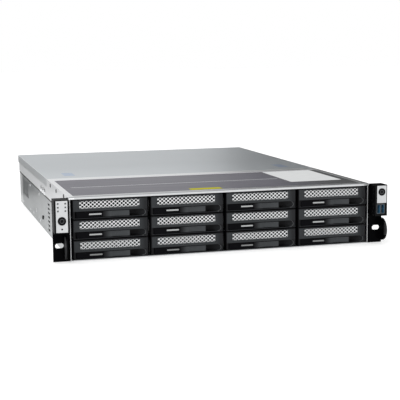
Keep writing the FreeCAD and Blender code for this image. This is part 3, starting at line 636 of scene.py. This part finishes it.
# A thin arc on the scoop's rounded right end is a painted highlight.
from_end, from_middle = across - rim_centre[0], up - rim_centre[1]
reach_square = from_end * from_end + from_middle * from_middle
scoop_rim_highlight = reach_square.between(*rim_squares) * (from_end > 0.0)
skin = place.noise(0.45, 1.0)
cloud = place.noise(25.0)
colour = (skin * 0.4 + cloud * 0.6).blend((0.031, 0.034, 0.037), (0.043, 0.046, 0.049))
colour = lower.blend(end_shade.blend(colour, (0.006, 0.006, 0.007)), (0.005, 0.005, 0.006))
colour = edge_shade.blend(colour, (0.004, 0.004, 0.005))
vary("Base Color", scoop_rim_highlight.blend(colour, (0.095, 0.10, 0.104)))
vary("Roughness", skin * 0.12 + cloud * 0.08 + 0.36)
vary("Normal", skin.bump(0.02, 0.25))
fit_to_trays(bezel, "tray_bezel", tray_grey, "tray", "drive_tray")


# Tray sleds: open carriers of plated sheet behind the bezels, two pierced walls tied by two low bars.
# A rolled runner along each wall slides on the cage's ledges.

sled_half, sled_sheet, sled_back, sled_low, sled_high = 51.8, 0.85, 197.0, 1.4, 19.4
opening = (28.0, 183.0, 7.4, 16.4)
bar_inset, bar_length, bar_low, bar_high, bar_gap = 0.4, 3.0, 0.1, 2.2, 0.1
middle = bezel_width / 2
sled = bmesh.new()
add_pair(sled, sled_half - sled_sheet, sled_half, bezel_depth, sled_back, sled_low, sled_high, middle)
cut_across(sled, 1, opening[:2])
cut_across(sled, 2, opening[2:])
bmesh.ops.delete(sled, geom=facing(sled, 0, opening), context="FACES")
for side in (-1, 1):
    rims = [e for e in sled.edges if e.is_boundary and (e.verts[0].co.x - middle) * side > 0]
    bmesh.ops.bridge_loops(sled, edges=rims)
add_pair(sled, near=sled_half - 0.2, far=sled_half + 1.2, front=opening[0], back=sled_back - 0.2,
         bottom=3.0, top=4.6, middle=middle)
bar_half = sled_half - bar_inset
for front in (bezel_depth + bar_gap, sled_back - bar_gap - bar_length):
    add_box(sled, (middle - bar_half, front, sled_low + bar_low),
            (middle + bar_half, front + bar_length, sled_low + bar_high))
bmesh.ops.recalc_face_normals(sled, faces=sled.faces[:])
fit_to_trays(sled, "tray_sled", zinc, "tray")


# Tray grilles: thin silver sheet, punched with staggered round holes and set behind the bezel's window.
# The window's upper and lower edges cut through the outermost rows of holes.

hole_pitch, row_step, hole_radius, grille_sheet = 5.7, 2.5, 1.7, 0.8
grille_rim, rim_lap, rows = 0.2, 0.1, 3
window_middle = Vector((window[0] + window[1], 0, window[2] + window[3])) / 2
columns = int((window[1] - window[0]) / hole_pitch / 2) + 1
upright = Matrix.Rotation(math.pi / 2, 4, "X")
grille = bmesh.new()
for row in range(-rows, rows + 1):
    for column in range(-columns, columns + 1):
        centre = window_middle + Vector(((column + row % 2 / 2) * hole_pitch, 0, row * row_step))
        cell = bmesh.ops.create_circle(grille, cap_ends=True, segments=8, radius=1.0, matrix=upright)
        for vert in cell["verts"]:
            reach = 1 / (abs(vert.co.x) + abs(vert.co.z))
            vert.co = centre + Vector((vert.co.x * reach * hole_pitch / 2, 0, vert.co.z * reach * row_step))
bmesh.ops.remove_doubles(grille, verts=grille.verts[:], dist=snap)
cells = grille.faces[:]
bmesh.ops.inset_individual(grille, faces=cells, thickness=0.3)
for cell in cells:
    centre = cell.calc_center_median()
    for vert in cell.verts:
        vert.co = centre + (vert.co - centre).normalized() * hole_radius
bmesh.ops.delete(grille, geom=cells, context="FACES_ONLY")
for axis, (low, high) in ((0, window[:2]), (2, window[2:])):
    cut_across(grille, axis, [low + grille_rim], -1, trim=True)
    cut_across(grille, axis, [high - grille_rim], 1, trim=True)
bmesh.ops.recalc_face_normals(grille, faces=grille.faces[:])
bmesh.ops.solidify(grille, geom=grille.faces[:], thickness=grille_sheet)
foremost = min(v.co.y for v in grille.verts)
bmesh.ops.translate(grille, vec=(0, window_set - foremost, 0), verts=grille.verts[:])
left, right, low, high = window
back = window_set + grille_sheet
for foot in (low, high - grille_rim):
    add_box(grille, (left, window_set, foot), (right, back, foot + grille_rim))
for side in (left, right - grille_rim):
    add_box(grille, (side, window_set, low + rim_lap), (side + grille_rim, back, high - rim_lap))
grille_silver = mottled_finish("grille_steel", (0.77, 0.78, 0.79), (0.87, 0.88, 0.89),
                               blotch=18.0, speck=0.8, rough=(0.36, 0.52), metallic=0.35)
fit_to_trays(grille, "tray_punched_sheet", grille_silver, "tray", "tray_grille")


# Tray levers: black moulded bars in the bezel's channel, hinged at the left and pulled at the right.
# The front is flat as far as the thumb hollow, which drops in quickly and runs out slowly to the tip.

lever_left, lever_end, lever_low, lever_high = 3.4, 78.4, 1.4, 9.7
lever_front, lever_back, heel_radius, tip_radius = 0.5, 5.7, 2.4, 2.0
hollow_start, hollow_deepest, hollow_depth = 51.4, 58.0, 1.6
hollow_lines = [hollow_start + 1.5 * step for step in range(18)]
pin_foot, pin_radius, pin_length = Vector((6.0, 3.1, 0.3)), 1.2, 10.5


def hollow(across):
    """How far the lever's front is set in at a place along it."""
    if across <= hollow_start:
        return 0.0
    if across < hollow_deepest:
        along = (across - hollow_start) / (hollow_deepest - hollow_start)
    else:
        along = (lever_end - across) / (lever_end - hollow_deepest)
    return hollow_depth * math.sin(max(along, 0.0) * math.pi / 2) ** 1.5


lever = bmesh.new()
add_box(lever, (lever_left, lever_front, lever_low), (lever_end, lever_back, lever_high))
cut_across(lever, 0, hollow_lines)
heel = [e for e in edges_along(lever, 2) if e.verts[0].co.x < lever_left + snap]
tip = [e for e in edges_along(lever, 2)
       if e.verts[0].co.x > lever_end - snap and e.verts[0].co.y > lever_back - snap]
for vert in lever.verts:
    if vert.co.y < lever_front + snap:
        vert.co.y += hollow(vert.co.x)
round_edges(lever, heel_radius, 5, heel)
round_edges(lever, tip_radius, 3, tip)
round_edges(lever, 0.3)
bmesh.ops.remove_doubles(lever, verts=lever.verts[:], dist=0.005)
bmesh.ops.dissolve_degenerate(lever, dist=0.005, edges=lever.edges[:])
add_head(lever, pin_foot, (0, 0, 1), pin_radius, pin_length, pin_radius)
lever_black, place, vary = new_finish("lever_black", (0.004, 0.004, 0.005), 0.42, gloss=0.0, coat=0.05,
                                      coat_roughness=0.3)
skin = place.noise(0.5, 1.0)
vary("Base Color", place.noise(22.0).blend((0.003, 0.003, 0.004), (0.005, 0.005, 0.006)))
vary("Roughness", skin * 0.14 + 0.36)
vary("Normal", skin.bump(0.02, 0.2))
fit_to_trays(lever, "pull_lever", lever_black, "lever", "tray_lever")


# Thumb pads: grey rubbery skins moulded over the hollow of each lever, painted darker towards the left end
# as shade.
# They follow the hollow's curve and stand a hair proud of it.

pad_skin, pad_root, pad_inset, pad_start, pad_full = 0.12, 0.6, 0.35, 41.5, 53.0
pad = bmesh.new()
add_box(pad, (pad_start, lever_front - pad_skin, lever_low + pad_inset),
        (lever_end - pad_inset, lever_front + pad_root, lever_high - pad_inset))
cut_across(pad, 0, hollow_lines)
for vert in pad.verts:
    vert.co.y += hollow(vert.co.x)
round_edges(pad, 0.06, 1)
pad_grey, place, vary = new_finish("pad_grey", (0.055, 0.059, 0.063), 0.5, gloss=0.15)
# Painted shade: the pad darkens to black towards its left end.
pad_painted_shade = tray_across(place).ramp(pad_start, pad_full)
colour = place.noise(12.0).blend((0.046, 0.050, 0.054), (0.062, 0.066, 0.070))
vary("Base Color", pad_painted_shade.blend((0.005, 0.005, 0.006), colour))
vary("Roughness", place.noise(0.6, 1.0) * 0.14 + 0.42)
fit_to_trays(pad, "thumb_pad", pad_grey, "lever")


# Lever plates: bare satin aluminium strips, stuck on the flat of each lever left of the thumb hollow.
# Cut from thin brushed sheet with a fine rounded edge; those of the lowest row are painted darker as shade.

plate_left, plate_right, plate_low, plate_high = 22.1, 39.5, 4.85, 6.9
plate_proud, plate_root, plate_corner, lowest_row_top = 0.3, 0.1, 0.5, 16.0
plate = bmesh.new()
add_box(plate, (plate_left, lever_front - plate_proud, plate_low),
        (plate_right, lever_front + plate_root, plate_high))
round_edges(plate, plate_corner, 3, edges_along(plate, 1))
round_edges(plate, 0.08, 1)
plate_silver, place, vary = new_finish("plate_silver", (0.50, 0.51, 0.51), 0.4, metallic=0.7)
brushed = place.noise((14.0, 14.0, 0.25), 3.0)
lowest_row_shade = place.axes()[2] < lowest_row_top
colour = brushed.blend((0.36, 0.37, 0.37), (0.48, 0.49, 0.49))
vary("Base Color", lowest_row_shade.blend(colour, (0.23, 0.235, 0.235)))
vary("Roughness", brushed * 0.16 + 0.34)
fit_to_trays(plate, "lever_plate", plate_silver, "lever")


# Front cover: plated sheet over the bays with a down-turned front edge, side skirts and a shallow recess.
# It is screwed to the case through its skirts and stays put when the rear cover is off.

cover_low, cover_high = corners("front_cover")
recess_side, recess_front, recess_back, fold_depth, fold_height = 8.0, 12.5, 192.0, 2.5, 1.0
recess = (cover_low.x + recess_side, cover_high.x - recess_side,
          cover_low.y + recess_front, cover_low.y + recess_back)
skirt_inner = 218.7
front_zinc, place, vary, colour = zinc_finish("front_zinc", (0.55, 0.56, 0.57), (0.67, 0.68, 0.69),
                                              roughness=0.36, sheen=0.80)
across, behind, up = place.axes()
# Painted light: the back and left rims are painted pale as a highlight, the right rim and the front fold are
# painted darker as shade, and the skirts get their own paler tone for how light falls on the sides.
rim = (behind > recess[3]).either(across < recess[0])
right_rim_shade = (across > recess[1]) * (behind < recess[3])
fold_shade = (behind < cover_low.y + fold_depth) * (up > cover_high.z - fold_height)
skirts = across.size() > skirt_inner
colour = right_rim_shade.blend(rim.blend(colour, (0.84, 0.85, 0.86)), (0.45, 0.46, 0.46))
colour = skirts.blend(fold_shade.blend(colour, (0.36, 0.37, 0.38)), (0.78, 0.79, 0.80))
vary("Base Color", colour)
vary("Metallic", 1.0 - skirts * 0.5)
dress(front_zinc, "front_cover", edge=0.7)


# Bay shade strips: black strips on the front edges of the case walls and of the front cover's skirts,
# standing in for the shade there as painted shade.
# They leave a narrow bright line of the folded steel showing next to each ear.

front_shade_strips = bmesh.new()
for near, far, low in ((wall_half - 1.25, wall_half + 0.2, 1.0), (step_half + 0.05, cover_high.x, 73.1)):
    add_pair(front_shade_strips, near, far, front=front_edge - 0.3, back=front_edge, bottom=low, top=84.4)
round_edges(front_shade_strips, 0.1, 1)
close_piece("bay_front_shade_strips", front_shade_strips, black_coat)


# Skirt screws: three low black screws in each side skirt of the front cover.
# They go into the case's upper flange and hold the cover down.

skirt_screws = bmesh.new()
add_side_heads(skirt_screws, cover_high.x, ((41.0, 84.2), (114.0, 82.3), (174.0, 83.0)),
               radius=3.0, height=0.9, crown=2.2)
round_edges(skirt_screws, 0.12, 1)
close_piece("skirt_screws", skirt_screws, fan_black)


# Recess panel: a dark grey textured film laid in the front cover's recess, with a fine pale line across.
# It lies below the cover's rim, so its edge throws no shadow, and it is painted darker towards the right end
# as shade.

recess_floor, film_gap, film_thickness = cover_high.z - 0.5, 0.4, 0.25
line_middle, line_half, line_left, line_right = cover_low.y + 101.0, 1.3, -200.0, 115.0
shade_from, shade_to, shade_share = 80.0, 190.0, 0.85
film = bmesh.new()
add_box(film, (recess[0] + film_gap, recess[2] + film_gap, recess_floor),
        (recess[1] - film_gap, recess[3] - film_gap, recess_floor + film_thickness))
round_edges(film, 0.1, 1)
film_grey, place, vary = new_finish("film_grey", (0.09, 0.088, 0.106), 0.45, gloss=0.42)
across, behind = place.axes()[:2]
line = behind.between(line_middle - line_half, line_middle + line_half)
line = line * across.between(line_left, line_right)
weave = place.noise(0.8, 1.0)
streak = place.noise((120.0, 14.0, 14.0), 3.0)
colour = (weave * 0.2 + streak * 0.8).blend((0.045, 0.043, 0.060), (0.130, 0.127, 0.150))
colour = across.ramp(shade_from, shade_to, shade_share).blend(colour, (0.040, 0.042, 0.040))
vary("Base Color", line.blend(colour, (0.60, 0.61, 0.62)))
vary("Roughness", weave * 0.10 + streak * 0.24 + 0.30)
vary("Normal", weave.bump(0.02, 0.25))
close_piece("recess_film", film, film_grey)


# Cover labels: blank stickers on the recess panel, a small yellow one at the front and a large white one.
# Thin coated paper, left bare.

label_thickness, label_corner = 0.15, 2.0
label_floor = recess_floor + film_thickness
for name, (left, right, front, back), dark, bright in (
        ("yellow_label", (-43.0, 3.0, 17.0, 34.0), (0.38, 0.36, 0.03), (0.48, 0.45, 0.06)),
        ("white_label", (120.0, 200.0, 55.0, 188.0), (0.60, 0.61, 0.61), (0.68, 0.69, 0.69))):
    sticker = bmesh.new()
    add_box(sticker, (left, cover_low.y + front, label_floor),
            (right, cover_low.y + back, label_floor + label_thickness))
    round_edges(sticker, label_corner, 4, edges_along(sticker, 2))
    paper = mottled_finish(name, dark, bright, blotch=14.0, speck=2.0, rough=(0.44, 0.56), gloss=0.0)
    close_piece(name, sticker, paper)


# Rear cover: one plated sheet with folded skirts that slides back and off.
# Two pale blue pads near its front edge show where the hands push.

touch_from, touch_to, touch_middle, touch_half = 170.0, 187.0, 48.0, 21.0
light_from, light_to, light_share = -50.0, 120.0, 0.25
cover_zinc, place, vary, colour = zinc_finish("cover_zinc", (0.50, 0.53, 0.55), (0.58, 0.61, 0.63),
                                              roughness=0.40, sheen=0.80)
across, behind = place.axes()[:2]
outside = across.size()
from_touch = behind - (corners("rear_cover")[0].y + touch_middle)
touch = outside.between(touch_from, touch_to) * (from_touch.size() < touch_half)
# Painted light: the sheet is painted paler towards its front edge, and the skirts get their own paler tone
# for how light falls on the cover.
light = light_share - from_touch.ramp(light_from, light_to, light_share)
skirts = outside > skirt_inner
colour = skirts.blend(light.blend(colour, (0.80, 0.84, 0.87)), (0.68, 0.70, 0.71))
vary("Base Color", touch.blend(colour, (0.45, 0.53, 0.65)))
dress(cover_zinc, "rear_cover", edge=0.7)


# Rack ears: black semi-gloss mouldings over a steel flange, with a control housing and a finger plate.
# Screwed to the case walls from outside through their side plates; the finger plates carry painted
# highlights on their front edges.

ear_coat = (0.002, 0.002, 0.0025)
nose_from, nose_top, nose_inner, nose_outer = 4.0, 37.0, 225.7, 226.8
grip_inner, grip_low, grip_high, grip_front, grip_back = 238.0, 13.0, 34.0, 15.5, 10.0
flange_back, housing_low = 2.0, 41.5
ear_black, place, vary = new_finish("ear_black", ear_coat, 0.3, gloss=0.0, coat=0.1, coat_roughness=0.25)
across, behind, up = place.axes()
skin = place.noise(0.6, 1.0)
vary("Roughness", skin * 0.10 + place.noise(18.0) * 0.08 + 0.22)
vary("Normal", skin.bump(0.015, 0.15))
# Painted highlights: a paler line along the front edge of the finger plates and a paler patch on the right
# one.
nose_highlight = (behind < front_edge - nose_from) * (up < nose_top)
nose_highlight = nose_highlight * across.size().between(nose_inner, nose_outer)
grip_sheen = (across > grip_inner) * up.between(grip_low, grip_high)
grip_sheen = grip_sheen * (1.0 - behind.ramp(front_edge - grip_front, front_edge - grip_back))
vary("Base Color", nose_highlight.either(grip_sheen).blend(ear_coat, (0.04, 0.04, 0.042)))
in_front = behind < front_edge + flange_back
vary("Coat Weight", in_front * (up > housing_low) * 0.10 + in_front * 0.05 + 0.03)
dress(ear_black, "left_ear", "right_ear", edge=0.6)
ear_plate = wall_half + 2.0
ear_spots = [(behind, up) for behind in (17, 37) for up in (12, 46)]
ear_screws = bmesh.new()
add_side_heads(ear_screws, ear_plate, ear_spots, radius=2.8, height=1.0, crown=2.0)
round_edges(ear_screws, 0.2)
close_piece("ear_screws", ear_screws, port_steel)


# Ear gap strips: black strips that fill the gap between each ear's flange and the step of the wall, standing
# in for the shade in that gap as painted shade.
# Die-cut and stuck to the wall.

gap_shade_strips = bmesh.new()
add_pair(gap_shade_strips, near=step_half, far=cover_high.x + 0.3, front=front_edge + 3.0, back=front_edge + 5.5,
         bottom=58.6, top=72.8)
round_edges(gap_shade_strips, 0.1, 1)
close_piece("ear_gap_shade_strips", gap_shade_strips, shade_strip_black)


# Faceplates: thin pale silver plates let into the fronts of the housings.
# Bead-blasted and clear-coated, so they look almost white.

face_silver, place, vary = new_finish("faceplate_silver", (0.70, 0.71, 0.72), 0.42, metallic=0.25)
vary("Base Color", place.noise(10.0).blend((0.60, 0.61, 0.62), (0.68, 0.69, 0.70)))
vary("Roughness", place.noise(0.5, 1.0) * 0.14 + 0.36)
dress(face_silver, "ear_faceplates", edge=0.15)


# Push buttons: black moulded caps with a raised rim and a dished face, one in each faceplate.
# They slide in the plate's round hole, and a ring of smoky light guide is moulded into each dish.

button_black, place, vary = new_finish("button_black", (0.004, 0.004, 0.005), 0.3, gloss=0.06)
vary("Roughness", place.noise(1.0) * 0.12 + 0.24)
ring_smoke = mottled_finish("ring_smoke", (0.07, 0.074, 0.078), (0.12, 0.125, 0.13),
                            blotch=2.0, speck=0.8, rough=(0.2, 0.3))
dish_steps = ((0.2, 0.0), (0.08, -0.35), (0.4, -0.2))
ring_inner, ring_outer, ring_front, ring_back = 0.43, 0.53, 0.3, 0.9
for node, body in (("power_button", "power_key"), ("id_button", "id_key")):
    low, high = corners(node)
    centre = (low + high) / 2
    radius = (high.x - low.x) / 2
    cap = bmesh.new()
    bmesh.ops.create_cone(cap, cap_ends=True, segments=48, radius1=radius, radius2=radius,
                          depth=high.y - low.y, matrix=Matrix.Translation(centre) @ upright)
    face = [f for f in cap.faces if f.normal.y < -0.9]
    for part, depth in dish_steps:
        bmesh.ops.inset_region(cap, faces=face, thickness=radius * part, depth=depth)
    round_edges(cap, 0.15)
    close_piece(node + "_cap", cap, button_black, body, [node])
    ring = bmesh.new()
    section = [(centre.x, low.y + deep, centre.z + radius * part)
               for deep, part in ((ring_front, ring_inner), (ring_front, ring_outer),
                                  (ring_back, ring_outer), (ring_back, ring_inner))]
    spin_ring(ring, section, centre, (0, 1, 0), steps=40)
    close_piece(node + "_ring", ring, ring_smoke, body)


# Indicator windows: small smoked light guides in the left faceplate, flush with its face.
# Dark while the server is off.

lens_smoke, place, vary = new_finish("lens_clear", (0.07, 0.078, 0.078), 0.18)
vary("Roughness", place.noise(0.6) * 0.08 + 0.14)
dress(lens_smoke, "status_lenses")


# Front sockets: plated shells set upright in the right housing, with blue insulator tongues inside.
# Only the thin rim of each shell is bare metal.

shell_rim = 0.6
socket_blue, place, vary = new_finish("socket_blue", (0.045, 0.13, 0.20), 0.4)
inside = place.axes()[1] > corners("usb_ports")[0].y + shell_rim
vary("Base Color", inside.blend((0.16, 0.17, 0.18), (0.06, 0.18, 0.29)))
vary("Metallic", 1.0 - inside)
vary("Roughness", place.noise(1.0) * 0.1 + 0.32)
dress(socket_blue, "usb_ports")


# Floor: a plain white studio sweep, wide enough to run out of every view.
# It is white to the eye and in reflections, and keeps the soft shadow of the server.
# The sizes of the studio are in metres.

def background_rays(tree):
    """One for the rays that see the background straight, mirrored or through glass."""
    straight, mirrored, through = [Socket(tree, None).node("LightPath", {}, {}, "Is %s Ray" % kind)
                                   for kind in ("Camera", "Glossy", "Transmission")]
    return straight.either(mirrored).either(through)


def stage_sheet(name, material, size, turn):
    """A square flat sheet of the studio, turned and moved into place."""
    sheet = bmesh.new()
    bmesh.ops.create_grid(sheet, x_segments=1, y_segments=1, size=size, matrix=turn)
    made = to_object(name, sheet, material)
    return made


floor_half, floor_drop = 12.0, 0.0005
floor_white, place, vary = new_finish("floor_white", (0.82, 0.82, 0.82), 0.9)
floor_white.node_tree.nodes["Principled BSDF"].inputs["Emission Strength"].default_value = 1.0
vary("Emission Color", background_rays(place.tree).blend((0.0, 0.0, 0.0), (0.4, 0.4, 0.4)))
stage_sheet("studio_floor", floor_white, floor_half, Matrix.Translation((0, 0, -floor_drop)))


# Studio light: a white room with one large soft lamp in front on the left and one overhead.
# Two dark cards out of sight, one upright behind and one flat on the floor at the left, shade the sheen
# of the covers and of the left wall.

def set_up(made, spot, aim):
    """Put a lamp or the camera at a spot and turn it to look at another."""
    made.location = spot
    made.rotation_mode = "QUATERNION"
    made.rotation_quaternion = (Vector(aim) - Vector(spot)).to_track_quat("-Z", "Y")
    bpy.context.scene.collection.objects.link(made)


room_light = 0.75
world = bpy.data.worlds.new("studio_room")
bpy.context.scene.world = world
world.use_nodes = True
room = world.node_tree.nodes["Background"]
seen = background_rays(world.node_tree)
world.node_tree.links.new((seen + (1.0 - seen) * room_light).output, room.inputs["Strength"])
room.inputs["Color"].default_value = (1.0, 1.0, 1.0, 1.0)

card_grey = new_finish("card_grey", (0.03, 0.03, 0.03), 0.9)[0]
for name, spot, size, turn in (("cover_card", (2.63, 3.0, 1.9), 1.6, upright),
                               ("wall_card", (-0.655, 0.79, 0.004), 0.43, Matrix.Identity(4))):
    card = stage_sheet(name, card_grey, size, Matrix.Translation(spot) @ turn)
    card.visible_camera = card.visible_diffuse = card.visible_shadow = False

for name, spot, aim, size, power in (
        ("front_lamp", (-1.6, -2.4, 1.9), (0.0, 0.0, 0.05), 1.6, 32.0),
        ("top_lamp", (-0.5, 0.3, 2.6), (0.0, 0.0, 0.0), 2.0, 14.0)):
    lamp_data = bpy.data.lights.new(name, "AREA")
    lamp_data.shape = "SQUARE"
    lamp_data.size = size
    lamp_data.energy = power
    lamp = bpy.data.objects.new(name, lamp_data)
    lamp.visible_glossy = False
    set_up(lamp, spot, aim)


# Camera: the photograph's viewpoint, from the left and a little above the cover.
# A long lens, levelled to the front edge by a slight roll.

camera_data = bpy.data.cameras.new("camera")
camera_data.sensor_width = 36.0
camera_data.lens = 96.93
camera = bpy.data.objects.new("camera", camera_data)
set_up(camera, spot=(-0.4350, -1.7401, 0.2854), aim=(0.0484, -0.0113, 0.0315))
roll = Quaternion((0, 0, 1), math.radians(-0.589))
camera.rotation_quaternion = camera.rotation_quaternion @ roll
bpy.context.scene.camera = camera
bpy.context.scene.view_settings.view_transform = "Standard"
